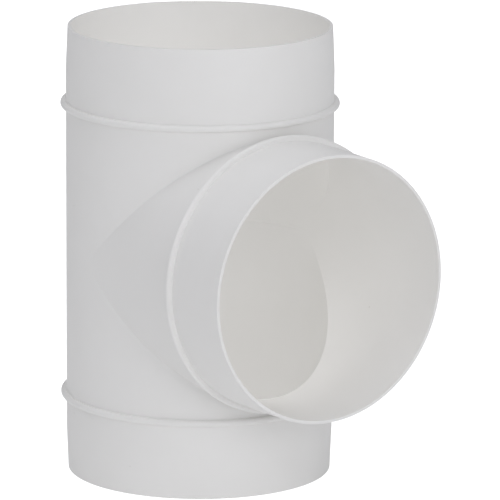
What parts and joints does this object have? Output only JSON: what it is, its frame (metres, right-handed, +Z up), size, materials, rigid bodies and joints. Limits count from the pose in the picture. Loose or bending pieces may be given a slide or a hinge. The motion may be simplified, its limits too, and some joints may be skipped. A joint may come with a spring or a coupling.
{
  "type": "equal duct tee",
  "caption": "Thin-walled equal tee for round air duct, with a plain male spigot and a stop rib on each end.",
  "frame": {"origin": "where the run's axis and the branch's axis cross, which is the middle of the run's bore", "axes": "+Z up along the run, +X out along the branch"},
  "size_m": [0.1366, 0.1042, 0.169],
  "materials": {
    "white_plastic": "satin, as moulded"
  },
  "bodies": {
    "root": {"run_body": "white_plastic", "branch_body": "white_plastic", "upper_spigot": "white_plastic", "lower_spigot": "white_plastic", "branch_spigot": "white_plastic", "upper_stop_rib": "white_plastic", "lower_stop_rib": "white_plastic", "branch_stop_rib": "white_plastic"}
  },
  "joints": []
}
